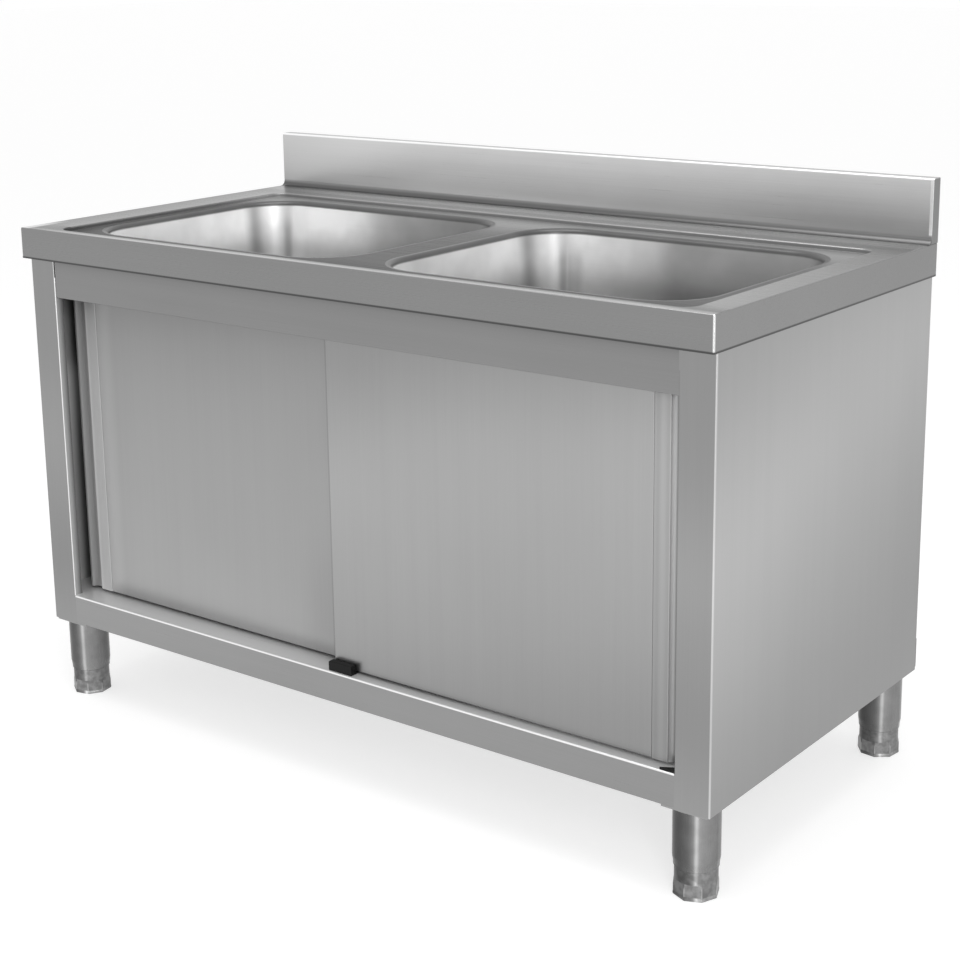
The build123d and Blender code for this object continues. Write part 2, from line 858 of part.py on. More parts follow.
def screw_places(face):
    """Screws of the roller brackets, on the foot of each bracket."""
    y = face + door_thick / 2 + door_screw_back
    spread = door_screw_spread / 2
    return [(x + s, y) for x in bracket_places() for s in (-spread, spread)]


def door_screw_holes(face, radius):
    z0, z1 = z_door_high - door_screw_length, z_door_high + past
    return Part() + [round_bar(x, y, z0, z1, radius) for x, y in screw_places(face)]


def roller_brackets(face):
    """Upright plates with a foot on the door's top edge."""
    middle = face + door_thick / 2
    half = bracket_sheet / 2
    brackets = []
    for x in bracket_places():
        x0, x1 = x - bracket_width / 2, x + bracket_width / 2
        z_tip = z_axle + bracket_above_axle
        path = [(middle + bracket_foot, z_door_high), (middle - half, z_door_high), (middle - half, z_tip)]
        plate = along_x(folded(path, bracket_sheet, bracket_bend_round, -1), x0, x1)
        plate -= axle_bar(x, middle - half - past, middle + half + past, axle_radius)
        for sx, sy in screw_places(face):
            hole = door_screw_radius + screw_clearance
            plate -= round_bar(sx, sy, z_door_high - past, z_door_high + bracket_sheet + past, hole)
        brackets.append(plate)
    return brackets


def bracket_screws(face):
    screws = []
    z_head = z_door_high + bracket_sheet
    for x, y in screw_places(face):
        head = round_bar(x, y, z_head, z_head + door_screw_head_height, door_screw_head)
        shank = round_bar(x, y, z_head - door_screw_length, z_head, door_screw_radius)
        screws.append(head + shank)
    return screws


def axle_bar(x, y0, y1, radius):
    """A cylinder along Y at the height of the axles."""
    return Pos(x, (y0 + y1) / 2, z_axle) * (Rot(90, 0, 0) * Cylinder(radius, y1 - y0))


def roller_span(face):
    """Front and rear side of a roller."""
    middle = face + door_thick / 2 - roller_offset
    return middle - roller_width / 2, middle + roller_width / 2


def roller_axles(face):
    """Axles riveted into the brackets."""
    middle = face + door_thick / 2
    y0, y1 = roller_span(face)
    rear = middle + bracket_sheet / 2
    axles = []
    for x in bracket_places():
        tip = y0 - axle_play
        bar = axle_bar(x, tip - axle_head, rear, axle_radius)
        front_head = axle_bar(x, tip - axle_head, tip, axle_head_radius)
        spacer = axle_bar(x, y1 + axle_play, rear - bracket_sheet, axle_head_radius)
        rear_head = axle_bar(x, rear, rear + axle_head, axle_head_radius)
        axles.append(bar + front_head + spacer + rear_head)
    return axles


def roller(x, face):
    """Grooved roller that straddles the rail's lip."""
    y0, y1 = roller_span(face)
    wheel = axle_bar(x, y0, y1, roller_flange)
    middle = (y0 + y1) / 2
    groove = axle_bar(x, middle - roller_groove / 2, middle + roller_groove / 2, roller_flange + past)
    groove -= axle_bar(x, y0, y1, roller_root)
    wheel -= groove
    return wheel - axle_bar(x, y0 - past, y1 + past, axle_radius + axle_clearance)


def door(name, face, place):
    """All nodes of one door. place puts the right-hand shapes on their side."""
    save(name + "_skin", place(door_skin(face)))
    save(name + "_core", place(door_core(face)))
    save(name + "_back_sheet", place(door_back(face)))
    save(name + "_pull", place(door_pull(face)))
    save(name + "_roller_brackets", *[place(s) for s in roller_brackets(face)])
    save(name + "_bracket_screws", *[place(s) for s in bracket_screws(face)])
    save(name + "_roller_axles", *[place(s) for s in roller_axles(face)])
    save(name + "_inner_roller", place(roller(x_roller_inner, face)))
    save(name + "_outer_roller", place(roller(x_roller_outer, face)))


# ---------------------------------------------------------------- door guides
def guide_screw_places():
    return (guide_centre - guide_screw_spread / 2, guide_centre + guide_screw_spread / 2)


def guide_screw_y():
    """The screws stand under the guide's middle upright."""
    return (y_door_front + door_thick + y_door_rear) / 2


def door_guide():
    """Comb with three uprights that keeps the doors' feet in line."""
    x0, x1 = guide_centre - guide_width / 2, guide_centre + guide_width / 2
    z1 = z_floor + guide_height
    front = (y_door_front - guide_running_gap - guide_front_thick, y_door_front - guide_running_gap)
    middle = (y_door_front + door_thick + guide_running_gap, y_door_rear - guide_running_gap)
    y_rear = y_door_rear + door_thick + guide_running_gap
    rear = (y_rear, y_rear + guide_rear_thick)
    comb = block(x0, x1, front[0], rear[1], z_floor, z_floor + guide_base)
    for y0, y1 in (front, middle, rear):
        tooth = block(x0, x1, y0, y1, z_floor, z1)
        comb += chamfer(level_face(tooth, z1).edges(), guide_chamfer)
    for x in guide_screw_places():
        hole = guide_screw_radius + screw_clearance
        z_hole = z_floor + guide_screw_length + guide_screw_tip
        comb -= round_bar(x, guide_screw_y(), z_floor - past, z_hole, hole)
    return comb


def guide_screws():
    screws = []
    for x in guide_screw_places():
        y = guide_screw_y()
        head = round_bar(x, y, z_floor_under - guide_screw_head_height, z_floor_under, guide_screw_head)
        shank = round_bar(x, y, z_floor_under, z_floor + guide_screw_length, guide_screw_radius)
        screws.append(head + shank)
    return screws


def corner_block():
    """Small wedge in the right-hand corner of the strip in front of the doors."""
    y0 = y_jamb + panel_sheet
    corners = [(x_jamb - corner_block_width, y0), (x_jamb, y0), (x_jamb, y0 + corner_block_reach)]
    outline = make_face(Polyline(*corners, close=True))
    return along_z(outline, z_floor, z_floor + corner_block_height)


# ---------------------------------------------------------------- legs and feet
def bolt_x():
    """Line of the leg bolts, in the side panel's bottom flange."""
    return x_side - bolt_from_edge


def bolt_lines(y):
    return (y - bolt_spread / 2, y + bolt_spread / 2)


def leg_plate(x, y):
    half = leg_plate_size / 2
    plate = block(x - half, x + half, y - half, y + half, z_plate, body_bottom)
    bx = math.copysign(bolt_x(), x)
    for by in bolt_lines(y):
        plate -= round_bar(bx, by, z_plate - past, body_bottom + past, bolt_radius + bolt_clearance)
    return plate


def leg_bolts(x, y):
    """Hexagon bolts through the flange into the plate."""
    bx = math.copysign(bolt_x(), x)
    z_head = body_bottom + panel_sheet
    hexagon = RegularPolygon(bolt_head_flats / 2, 6, major_radius=False)
    bolts = []
    for by in bolt_lines(y):
        head = Pos(bx, by, 0) * along_z(hexagon, z_head, z_head + bolt_head_height)
        bolts.append(head + round_bar(bx, by, z_plate, z_head, bolt_radius))
    return bolts


def leg_tube(x, y):
    """Leg tube with its mouth drawn in round the foot."""
    mouth = foot_radius + leg_mouth_gap
    z0, z1, z2 = foot_seam, foot_seam + leg_neck, foot_seam + leg_neck + leg_taper_height
    inner = leg_radius - leg_wall
    return turned(
        [
            (mouth, z0),
            (mouth + leg_wall, z0),
            (mouth + leg_wall, z1),
            (leg_radius, z2),
            (leg_radius, z_plate),
            (inner, z_plate),
            (inner, z2),
            (mouth, z1),
        ],
        x,
        y,
    )


def leg_insert(x, y):
    """Threaded plug inside the leg."""
    outer = leg_radius - leg_wall
    bore = spindle_radius + spindle_clearance
    return ring(x, y, insert_height, insert_height + insert_thick, outer, bore)


def foot(x, y, turn):
    """Adjustable foot: rim and flats below, plain round above. turn is how far it is screwed round."""
    z_flats = foot_rim_thick + foot_flats_height
    rim = along_z(RegularPolygon(foot_corner_radius, foot_sides), 0, foot_rim_thick)
    rim = fillet(rim.edges(), foot_rim_round)
    corners = foot_corner_radius - foot_rim_step
    flats = along_z(RegularPolygon(corners, foot_sides), foot_rim_thick / 2, z_flats)
    slope = [(corners, z_flats - foot_cone_height), (foot_radius, z_flats)]
    cone = turned([(0, 0), (corners, 0), *slope, (0, z_flats)])
    z_head = foot_seam + foot_engage
    body = rim + (flats & cone) + round_bar(0, 0, z_flats, z_head, foot_radius)
    hollow = ring(0, 0, z_flats, z_head + past, foot_radius - foot_wall, spindle_radius + foot_wall)
    bore = round_bar(0, 0, spindle_bottom, z_head + past, spindle_radius)
    return Pos(x, y, 0) * Rot(0, 0, turn) * (body - hollow - bore)


def foot_spindle(x, y):
    """Threaded spindle, fixed in the foot."""
    return round_bar(x, y, spindle_bottom, spindle_top, spindle_radius)


# ---------------------------------------------------------------- build
os.makedirs("parts", exist_ok=True)

save("worktop", worktop())
save("splashback", splashback())
save("splash_end_plates", splash_end(-1), splash_end(1))
for side_name, side_x in (("left", -bowl_x), ("right", bowl_x)):
    save(side_name + "_bowl", bowl(side_x))
    save(side_name + "_waste_flange", waste_flange(side_x))
    save(side_name + "_waste_body", waste_body(side_x))
save("waste_gaskets", waste_gasket(-bowl_x), waste_gasket(bowl_x))
save("waste_nuts", waste_nut(-bowl_x), waste_nut(bowl_x))
save("waste_screws", waste_screw(-bowl_x), waste_screw(bowl_x))

save("right_side_panel", side_panel())
save("left_side_panel", other_side(side_panel()))
save("back_panel", back_panel())
save("cupboard_floor", cupboard_floor())
save("fascia", fascia())
save("rear_stiffener", rear_stiffener())
save("centre_stiffener", centre_stiffener())
save("floor_stiffeners", *floor_stiffeners())
save("rear_buffers", rear_buffer(-1), rear_buffer(1))

save("door_track", door_track())
save("track_carrier", track_carrier())
track_stops = [track_stop(1, y_door_front, end) for end in (True, False)]
track_stops += [track_stop(-1, y_door_rear, end) for end in (True, False)]
save("track_stops", *track_stops)
save("door_guide", door_guide())
save("guide_screws", *guide_screws())
save("corner_block", corner_block())

door("right_door", y_door_front, lambda shape: shape)
door("left_door", y_door_rear, other_side)

save("leg_plates", *[leg_plate(x, y) for x, y in leg_places])
save("leg_bolts", *[bolt for x, y in leg_places for bolt in leg_bolts(x, y)])
save("leg_tubes", *[leg_tube(x, y) for x, y in leg_places])
save("leg_inserts", *[leg_insert(x, y) for x, y in leg_places])
for leg_name, (foot_x, foot_y), foot_turn in zip(leg_names, leg_places, foot_turns):
    save(leg_name + "_foot", foot(foot_x, foot_y, foot_turn))
    save(leg_name + "_foot_spindle", foot_spindle(foot_x, foot_y))
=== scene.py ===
# %% [markdown]
# # A stainless steel sink unit
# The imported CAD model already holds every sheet, leg and roller at its real size. Blender's job is to
# make them look like steel, rubber and plastic, to add the small shop details that CAD leaves out, and to
# light the unit plainly. Everything is in metres in the CAD frame: +X to the right along the front, +Y to
# the wall, +Z up, floor at zero.

# %% Load the frame
import json
import math
import bmesh
import bpy
from mathutils import Matrix, Vector


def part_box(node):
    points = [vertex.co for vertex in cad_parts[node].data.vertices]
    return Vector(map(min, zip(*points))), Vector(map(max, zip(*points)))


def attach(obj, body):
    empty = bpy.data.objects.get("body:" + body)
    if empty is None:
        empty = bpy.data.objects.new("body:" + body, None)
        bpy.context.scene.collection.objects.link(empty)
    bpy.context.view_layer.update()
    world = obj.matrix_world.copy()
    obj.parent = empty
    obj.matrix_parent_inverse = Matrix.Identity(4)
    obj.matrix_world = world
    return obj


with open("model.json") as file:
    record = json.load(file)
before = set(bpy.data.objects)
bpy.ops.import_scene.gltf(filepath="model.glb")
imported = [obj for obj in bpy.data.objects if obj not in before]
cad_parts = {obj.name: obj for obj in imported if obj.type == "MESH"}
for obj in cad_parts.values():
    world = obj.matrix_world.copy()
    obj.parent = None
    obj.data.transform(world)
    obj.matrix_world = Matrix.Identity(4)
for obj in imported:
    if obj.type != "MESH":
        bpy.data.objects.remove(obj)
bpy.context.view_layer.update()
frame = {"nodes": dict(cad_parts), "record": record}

# %% [markdown]
# ## Camera
# The photograph is taken from the front right, a little above the worktop, with a long lens. The camera is
# placed by its direction from the unit, its distance and a small roll, which is easier to read and change
# than a matrix. A small lens shift moves the picture without turning the camera. The uprights still lean a
# little, because only a much larger shift would make them parallel.

# %% Camera
azimuth, elevation, roll = math.radians(37.5), math.radians(13.49), math.radians(-0.76)
distance, across, upward = 3.204, 0.034, 0.109
aim = Vector((0, 0, 0.5))
picture_width = 960
focal_pixels = 1861
axis_row = 384  # row of the picture that the lens axis meets
sensor_width = 36.0

back = Vector((
    math.sin(azimuth) * math.cos(elevation),
    -math.cos(azimuth) * math.cos(elevation),
    math.sin(elevation),
))
right = Vector((math.cos(azimuth), math.sin(azimuth), 0.0))
up = back.cross(right)
camera_data = bpy.data.cameras.new("camera")
camera_data.sensor_width = sensor_width
camera_data.lens = sensor_width * focal_pixels / picture_width
camera_data.shift_y = (axis_row - picture_width / 2) / picture_width
camera = bpy.data.objects.new("camera", camera_data)
bpy.context.scene.collection.objects.link(camera)
rolled_right = math.cos(roll) * right + math.sin(roll) * up
rolled_up = math.cos(roll) * up - math.sin(roll) * right
spot = aim + across * right + upward * up + distance * back
turned = Matrix((rolled_right, rolled_up, back)).transposed().to_4x4()
camera.matrix_world = Matrix.Translation(spot) @ turned
bpy.context.scene.camera = camera
print("camera at", [round(v, 3) for v in spot])

# %% [markdown]
# ## Node helpers
# Each light and finish here is a small graph of nodes. Written out, every node takes several lines, and
# what the graph does gets lost among them. So a few helpers add a node, feed its sockets with numbers or
# with other nodes, and give back its output.

# %% Node helpers
def add(tree, kind, **settings):
    """New node with its properties set."""
    node = tree.nodes.new("ShaderNode" + kind)
    for key, value in settings.items():
        setattr(node, key, value)
    return node


def feed(tree, socket, value):
    """Give a socket a number, or link it to another node's output."""
    if isinstance(value, (int, float)):
        socket.default_value = value
    else:
        tree.links.new(value, socket)


def sums(tree, operation, a, b=0):
    """Math node on two sockets or numbers."""
    node = add(tree, "Math", operation=operation)
    feed(tree, node.inputs[0], a)
    feed(tree, node.inputs[1], b)
    return node.outputs[0]


def picture_rays(tree):
    """1 for what the camera, a mirror or glass sees, 0 for rays that only carry light."""
    path = add(tree, "LightPath").outputs
    seen = sums(tree, "MAXIMUM", path["Is Camera Ray"], path["Is Glossy Ray"])
    return sums(tree, "MAXIMUM", seen, path["Is Transmission Ray"])


# %% [markdown]
# ## Studio
# Metal shows what stands round it, so the studio matters as much as the finish. There is a pale floor, a
# white surround and three broad soft lamps. The surround is white for what the camera and the metal see,
# and a little dimmer as a lamp, so that the soft boxes can shape the bowls and the legs. The Light Path
# node tells these rays apart. The floor is lifted to white in the same way and keeps its shadow.

# %% Surround
surround_as_lamp, surround_as_seen = 0.60, 1.0

scene = bpy.context.scene
scene.view_settings.view_transform = "Standard"
world = bpy.data.worlds.new("surround")
scene.world = world
world.use_nodes = True
world_tree = world.node_tree
world_tree.nodes.clear()
strength = add(world_tree, "MapRange")
strength.inputs["To Min"].default_value = surround_as_lamp
strength.inputs["To Max"].default_value = surround_as_seen
world_tree.links.new(picture_rays(world_tree), strength.inputs["Value"])
background = add(world_tree, "Background")
background.inputs["Color"].default_value = (1, 1, 1, 1)
world_tree.links.new(strength.outputs["Result"], background.inputs["Strength"])
world_tree.links.new(background.outputs[0], add(world_tree, "OutputWorld").inputs["Surface"])
print("surround", surround_as_lamp, "as a lamp,", surround_as_seen, "as seen")

# %% Soft boxes
def soft_box(name, place, target, size, power):
    """Rectangular lamp at a place, turned to a target."""
    data = bpy.data.lights.new(name, "AREA")
    data.shape = "RECTANGLE"
    data.size, data.size_y = size
    data.energy = power
    lamp = bpy.data.objects.new(name, data)
    scene.collection.objects.link(lamp)
    lamp.location = place
    lamp.rotation_euler = (Vector(target) - Vector(place)).to_track_quat("-Z", "Y").to_euler()
    print("lamp", name, power, "W")


soft_box("overhead", (0.2, -0.4, 3.2), (0, 0, 0.8), (2.6, 1.8), 42)
soft_box("front_right", (2.6, -2.6, 2.2), (0, 0, 0.6), (1.2, 1.8), 22)
soft_box("strip", (2.6, -2.42, 1.3), (0, 0, 0.6), (0.35, 2.0), 12)

# %% Floor
floor_half = 30.0
floor_lift = 0.66  # glow that turns the lit grey floor white in the picture

floor_mesh = bpy.data.meshes.new("studio_floor")
floor_corners = [(x * floor_half, y * floor_half, 0.0) for x, y in ((-1, -1), (1, -1), (1, 1), (-1, 1))]
floor_mesh.from_pydata(floor_corners, [], [(0, 1, 2, 3)])
floor = bpy.data.objects.new("studio_floor", floor_mesh)
scene.collection.objects.link(floor)
floor_paint = bpy.data.materials.new("floor_paint")
floor_paint.use_nodes = True
floor_tree = floor_paint.node_tree
floor_shader = floor_tree.nodes["Principled BSDF"]
floor_shader.inputs["Base Color"].default_value = (0.5, 0.5, 0.5, 1)
floor_shader.inputs["Roughness"].default_value = 0.9
floor_shader.inputs["Specular IOR Level"].default_value = 0.1
floor_shader.inputs["Emission Color"].default_value = (1, 1, 1, 1)
glow = sums(floor_tree, "MULTIPLY", picture_rays(floor_tree), floor_lift)
floor_tree.links.new(glow, floor_shader.inputs["Emission Strength"])
floor.data.materials.append(floor_paint)
print("floor", 2 * floor_half, "m wide")

# %% [markdown]
# ## Brushed steel
# Stainless sheet is ground with a belt, so it carries fine parallel scratches. An image of scratches would
# stretch over folds and end at seams, while a noise in space runs through every piece alike. Three things
# make it read as brushed: a noise stretched along the grain drives the colour, the roughness and a very
# small bump. A slow second noise adds the faint clouds of a hand-wiped sheet. Each finish gets its own
# grey, and the light, shade and reflections that the sheet shows are painted into that grey.

# %% Curves and masks
def step(tree, value, low, high, out_low=0.0, out_high=1.0):
    """Smooth change from out_low to out_high while value goes from low to high."""
    node = add(tree, "MapRange", interpolation_type="SMOOTHSTEP")
    tree.links.new(value, node.inputs["Value"])
    for key, number in (("From Min", low), ("From Max", high), ("To Min", out_low), ("To Max", out_high)):
        node.inputs[key].default_value = number
    return node.outputs["Result"]


def curve(tree, value, stops):
    """Values along a line: stops are (place, value) pairs in rising order, with values from 0 to 1."""
    low, high = stops[0][0], stops[-1][0]
    spread = add(tree, "MapRange")
    tree.links.new(value, spread.inputs["Value"])
    spread.inputs["From Min"].default_value = low
    spread.inputs["From Max"].default_value = high
    ramp = add(tree, "ValToRGB")
    ramp.color_ramp.interpolation = "B_SPLINE"
    places = ramp.color_ramp.elements
    while len(places) < len(stops):
        places.new(0.5)
    for element, (place, grey) in zip(places, stops):
        element.position = (place - low) / (high - low)
        element.color = (grey, grey, grey, 1)
    tree.links.new(spread.outputs["Result"], ramp.inputs["Fac"])
    return sums(tree, "ADD", ramp.outputs["Color"])


def ratios(tree, value, stops):
    """Curve of factors. A colour ramp holds only 0 to 1, so they are divided by the largest first."""
    largest = max(factor for place, factor in stops)
    parts = [(place, factor / largest) for place, factor in stops]
    return sums(tree, "MULTIPLY", curve(tree, value, parts), largest)


def pick(tree, mask, other, base):
    """base where mask is 0, other where it is 1. Both may be numbers or sockets."""
    node = add(tree, "Mix", data_type="FLOAT")
    tree.links.new(mask, node.inputs[0])
    feed(tree, node.inputs[2], base)
    feed(tree, node.inputs[3], other)
    return node.outputs[0]


def both(tree, first, *others):
    """Product of masks or tones."""
    for other in others:
        first = sums(tree, "MULTIPLY", first, other)
    return first


def flip(tree, mask):
    """1 where the mask is 0, and 0 where it is 1."""
    return sums(tree, "SUBTRACT", 1.0, mask)


# %% Level
def level(grey_255):
    """Linear value of a grey given on the 0 to 255 scale."""
    c = grey_255 / 255
    return ((c + 0.055) / 1.055) ** 2.4 if c > 0.04045 else c / 12.92


def greys(*stops):
    """(place, grey on the 0 to 255 scale) pairs as (place, linear value) pairs."""
    return [(place, level(grey)) for place, grey in stops]


print("middle grey", round(level(128), 3))

# %% Surface helpers
def new_finish(name, shine):
    """Material, its tree and shader, and coordinates that stay with the piece when it moves."""
    material = bpy.data.materials.new(name)
    material.use_nodes = True
    tree = material.node_tree
    shader = tree.nodes["Principled BSDF"]
    shader.inputs["Specular IOR Level"].default_value = shine
    return material, tree, shader, add(tree, "TexCoord").outputs["Object"]


def noise(tree, coords, scale, detail, roughness=0.5):
    """Grey noise of so many spots per metre."""
    node = add(tree, "TexNoise")
    node.inputs["Scale"].default_value = scale
    node.inputs["Detail"].default_value = detail
    node.inputs["Roughness"].default_value = roughness
    tree.links.new(coords, node.inputs["Vector"])
    return node.outputs["Fac"]


def grain_noise(tree, coords, grain, across_grain, along_grain):
    """Noise drawn out along the grain: so many streaks per metre across it and along it."""
    stretch = add(tree, "Mapping")
    stretch.inputs["Scale"].default_value = tuple(
        along_grain if axis == grain else across_grain for axis in "xyz")
    tree.links.new(coords, stretch.inputs["Vector"])
    return noise(tree, stretch.outputs[0], 1.0, 3.0, roughness=0.6)


def relief(tree, shader, height, strength, depth):
    """Small bumps in the surface where the noise is high."""
    bumps = add(tree, "Bump")
    bumps.inputs["Strength"].default_value = strength
    bumps.inputs["Distance"].default_value = depth
    tree.links.new(height, bumps.inputs["Height"])
    tree.links.new(bumps.outputs[0], shader.inputs["Normal"])


# %% Brushed steel material
scratches_across, scratches_along = 900, 4
bands_across, bands_along = 55, 0.8
scratch_depth = 0.0004


def brushed(name, grey, grain, roughness=0.3, streaks=0.022, clouds=0.015, cloud_scale=3.2, bump=0.03,
            metal=1.0, shine=0.5):
    """Brushed steel. grey and metal are numbers or functions of (tree, x, y, z); grain is 'x' or 'z'."""
    material, tree, shader, coords = new_finish(name, shine)
    split = add(tree, "SeparateXYZ")
    tree.links.new(coords, split.inputs[0])
    x, y, z = split.outputs
    feed(tree, shader.inputs["Metallic"], metal(tree, x, y, z) if callable(metal) else metal)
    tone = grey(tree, x, y, z) if callable(grey) else grey
    scratches = grain_noise(tree, coords, grain, scratches_across, scratches_along)
    bands = grain_noise(tree, coords, grain, bands_across, bands_along)
    wipes = noise(tree, coords, cloud_scale, 2.0)
    fine = step(tree, scratches, 0.25, 0.75, 1 - streaks, 1 + streaks)
    broad = step(tree, bands, 0.3, 0.7, 1 - 0.4 * streaks, 1 + 0.4 * streaks)
    slow = step(tree, wipes, 0.3, 0.7, 1 - clouds, 1 + clouds)
    value = sums(tree, "MULTIPLY", both(tree, fine, broad), both(tree, slow, tone))
    colour = add(tree, "CombineColor")
    for channel in colour.inputs:
        tree.links.new(value, channel)
    tree.links.new(colour.outputs[0], shader.inputs["Base Color"])
    gloss = step(tree, scratches, 0.2, 0.8, roughness - 0.03, roughness + 0.05)
    tree.links.new(gloss, shader.inputs["Roughness"])
    relief(tree, shader, scratches, bump, scratch_depth)
    return material


# %% [markdown]
# ## Greys of each piece
# Each sheet shows its own tone, because it was ground in its own direction and catches other parts of the
# room. These reflections, highlights and shade are painted into its colour: each tone is a short curve of
# greys along a direction in the CAD frame, with masks for folds and edges. A curve is easy to change stop by
# stop, and it moves with its piece.

# %% [markdown]
# ## Worktop
# The worktop is one pressed sheet: a raised border, a sunken area that keeps water in, and aprons folded
# down all round. The border is ground lengthwise after pressing, and the sunken area is not, so that one is
# duller and darker. At this low angle a fully metallic surface always mirrors the white surround, so the
# sunken area is made mostly non-metallic to stay dark. The greys of the border and the sunken area paint the
# reflections and shade that they show, and the corners and the hem get painted highlights and painted
# shade.

# %% Worktop
half_length = 0.7
half_depth = 0.35


def sunken_mask(tree, x, y, z):
    """1 in the sunken area, 0 on the border and the skirt."""
    ends = sums(tree, "ABSOLUTE", x)
    inside = both(tree, step(tree, ends, 0.690, 0.685), step(tree, y, -0.345, -0.340),
                  step(tree, y, 0.290, 0.280))
    return both(tree, inside, step(tree, z, 0.8697, 0.8675))


def border_grey(tree, x, y, ends):
    """Border with painted reflections, painted shade on its inner front edge, painted highlight front left.
    """
    # from_front and from_left paint the reflections that the border shows, darker towards the ends
    from_front = curve(tree, y, greys(
        (-half_depth, 190), (-0.343, 186), (-0.334, 110), (-0.325, 110), (-0.3, 170), (-0.15, 154),
        (0.1, 168), (0.2, 184), (0.25, 160), (0.263, 180), (0.275, 216), (0.3, 222)))
    from_left = curve(tree, x, [
        (-half_length, 0.3), (-0.63, 0.6), (-0.5, 1.0), (0.0, 0.95), (0.4, 0.92), (0.62, 0.88),
        (half_length, 0.7)])
    # painted shade where the front border turns down to the sunken area
    shaded_inner_edge = both(tree, step(tree, y, -0.336, -0.328), step(tree, y, -0.296, -0.300),
                      step(tree, ends, 0.680, 0.620))
    # painted highlight on the rounded front left corner of the border
    border_corner_highlight = both(tree, step(tree, x, -0.674, -0.686), step(tree, y, -0.24, -0.32))
    border = pick(tree, shaded_inner_edge, level(80), both(tree, from_front, from_left))
    return pick(tree, border_corner_highlight, level(212), border)


def worktop_grey(tree, x, y, z):
    """Border, sunken area, back, front and end aprons, painted corner highlights, painted shadow on the hem.
    """
    ends = sums(tree, "ABSOLUTE", x)
    # painted reflections and shade across the sunken area, from front to back
    sunken = curve(tree, y, greys(
        (-0.31, 82), (-0.25, 104), (-0.08, 103), (0.05, 114), (0.11, 124), (0.18, 162), (0.225, 142),
        (0.25, 96)))
    face = pick(tree, sunken_mask(tree, x, y, z), sunken, border_grey(tree, x, y, ends))
    back_apron = step(tree, y, 0.334, 0.338)
    face = pick(tree, back_apron, level(160), face)
    front = step(tree, y, -0.3480, -0.3490)
    # painted highlights down the front corners, on the front apron and on the end aprons
    front_face = pick(tree, step(tree, ends, 0.6970, 0.6980), level(225), level(139))
    side = step(tree, ends, 0.6985, 0.6990)
    side_face = pick(tree, step(tree, y, -0.3470, -0.3480), level(225),
                     curve(tree, y, greys((-half_depth, 143), (0.0, 138), (half_depth, 132))))
    face = pick(tree, side, side_face, pick(tree, front, front_face, face))
    skirt = step(tree, sums(tree, "MAXIMUM", front, side), 0.4, 0.6)
    # painted shadow line along the bottom of the front and end aprons
    hem = step(tree, z, 0.8200, 0.8180)
    return pick(tree, both(tree, skirt, hem), level(82), face)


def worktop_metal(tree, x, y, z):
    """The sunken area is duller: it is pressed and not ground again."""
    return flip(tree, both(tree, sunken_mask(tree, x, y, z), 0.75))


worktop_steel = brushed("worktop_steel", worktop_grey, "x", roughness=0.28, streaks=0.016, bump=0.012,
                        metal=worktop_metal, shine=0.0)
print("finish", worktop_steel.name)

# %% [markdown]
# ## Splashback
# The splashback is a folded box that rises from the worktop with a coved foot, so that it can be wiped
# clean. Both shapes are in the CAD solids. Where the folds catch the light as thin bright lines, the finish
# paints them as highlights, it paints the dark border below as a reflection in the cove, and it paints a
# shade that grows downwards. The end plates are separate pieces and are ground upright.

# %% Splashback
def splash_grey(tree, x, y, z):
    """Pale face, paler to the right, painted shade growing downwards and rightwards, painted bend highlights.
    """
    # face paints the reflections on the splashback, and sideways and downwards paint its shade
    face = curve(tree, x, greys(
        (-half_length, 206), (-0.5, 216), (-0.2, 236), (0.1, 250), (half_length, 240)))
    sideways = curve(tree, x, [
        (-half_length, 0.68), (-0.5, 0.4), (0.0, 0.7), (0.35, 0.9), (half_length, 1.0)])
    downwards = curve(tree, z, [(0.88, 0.66), (0.9, 0.43), (0.92, 0.3), (0.94, 0.22), (0.975, 0.1)])
    shaded = both(tree, face, flip(tree, both(tree, sideways, downwards)))
    # painted highlights along the top bend and down the right end
    top_highlight = both(tree, step(tree, z, 0.9712, 0.9725), step(tree, y, 0.3275, 0.3265))
    end_highlight = both(tree, step(tree, x, 0.6945, 0.6960), step(tree, z, 0.882, 0.886))
    # painted reflection of the dark border in the cove
    cove = curve(tree, z, greys(
        (0.870, 110), (0.8722, 100), (0.8745, 94), (0.877, 108), (0.8795, 140), (0.882, 150)))
    shaded = pick(tree, step(tree, z, 0.8830, 0.8800), cove, shaded)
    front = pick(tree, sums(tree, "MAXIMUM", top_highlight, end_highlight), level(253), shaded)
    behind = step(tree, y, 0.328, 0.332)
    return pick(tree, behind, level(172), front)


splash_steel = brushed("splash_steel", splash_grey, "x", roughness=0.3)
end_plate_steel = brushed("end_plate_steel", level(128), "z", roughness=0.32)
print("finish", splash_steel.name, end_plate_steel.name)

# %% [markdown]
# ## Bowls
# A bowl is pressed deep from flat sheet and then ground to a satin finish. Its light and shade are painted:
# pale on the left wall, darker to the right and lower down, with painted reflections of the other walls as
# broad light and dark marks, most of all in the rear left corner. A picture of the marks would not follow
# the corner, so they are a curve of factors over the angle round the corner's axis. The two bowls differ a
# little, and the right one has a second curve for that.

# %% Bowls
bowl_middle = 0.325  # from the unit's middle to each bowl's
corner_x, corner_y = -0.196, 0.111  # axis of the rear left corner, x from the bowl's own middle


def mirrored(tree, value, distance):
    """distance where the value is positive, minus distance where it is negative."""
    return both(tree, sums(tree, "SIGN", value), distance)


def over_zero(tree, value):
    """1 on the right or rear half of the unit, 0 on the left or front half."""
    return step(tree, value, -0.01, 0.01)


def from_bowl_middle(tree, x):
    """Place across a bowl, from the middle of the bowl it belongs to."""
    return sums(tree, "SUBTRACT", x, mirrored(tree, x, bowl_middle))


def bowl_rim(tree, z):
    """1 on the rolled rim, 0 on the walls."""
    return step(tree, z, 0.8515, 0.8555)


